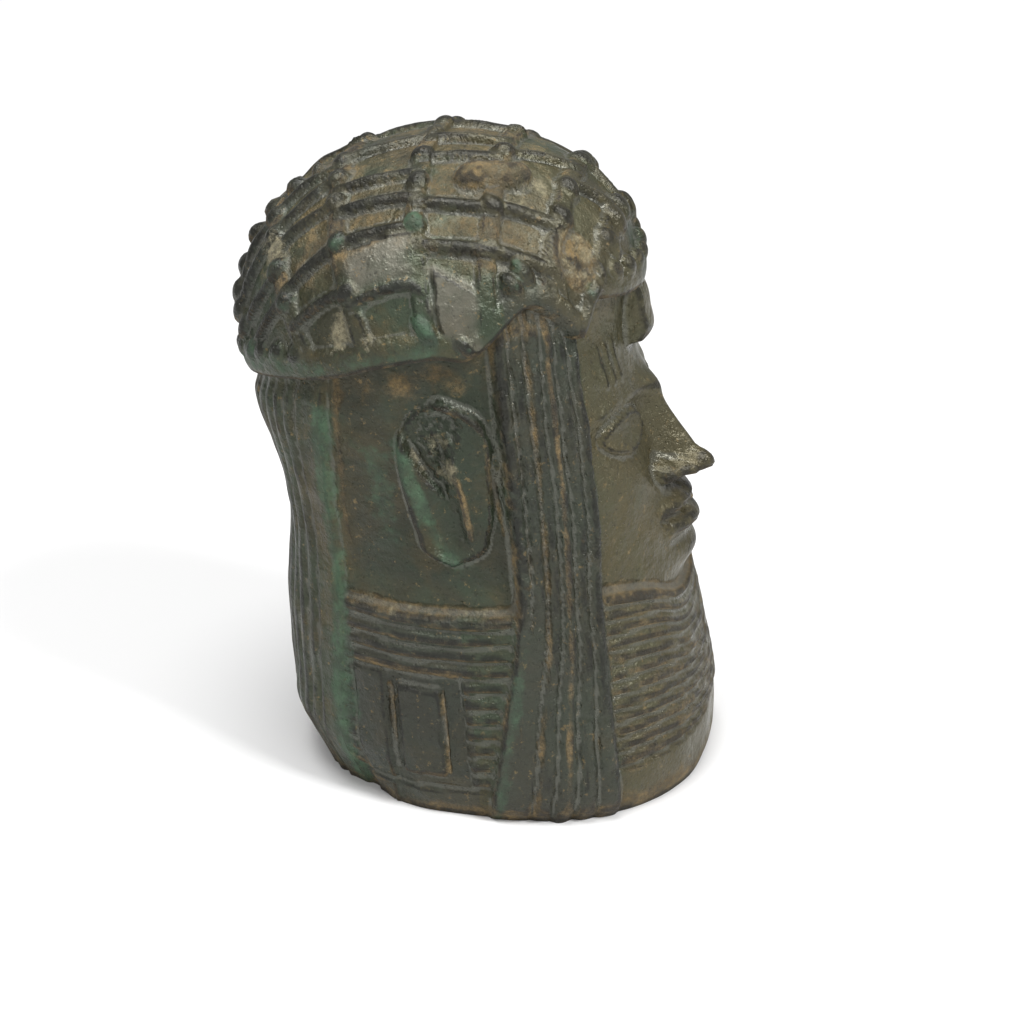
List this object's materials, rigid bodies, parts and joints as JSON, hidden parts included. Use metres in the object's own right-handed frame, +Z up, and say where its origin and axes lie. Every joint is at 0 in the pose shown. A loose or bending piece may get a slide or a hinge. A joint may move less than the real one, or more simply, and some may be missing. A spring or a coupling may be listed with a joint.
{
  "type": "commemorative head",
  "caption": "Hollow cast bronze head of an elder with a netted bead cap, long hanging locks, side ears and a tall ringed collar, open underneath.",
  "frame": {"origin": "middle of the part's box on the floor it stands on", "axes": "+Z up along its height, -Y the way the face looks, -X its right side"},
  "size_m": [0.1474, 0.1812, 0.2427],
  "materials": {
    "bronze": "aged dark brown-green patina, satin, with ochre dirt in the grooves"
  },
  "bodies": {
    "root": {"commemorative_head": "bronze"}
  },
  "joints": []
}
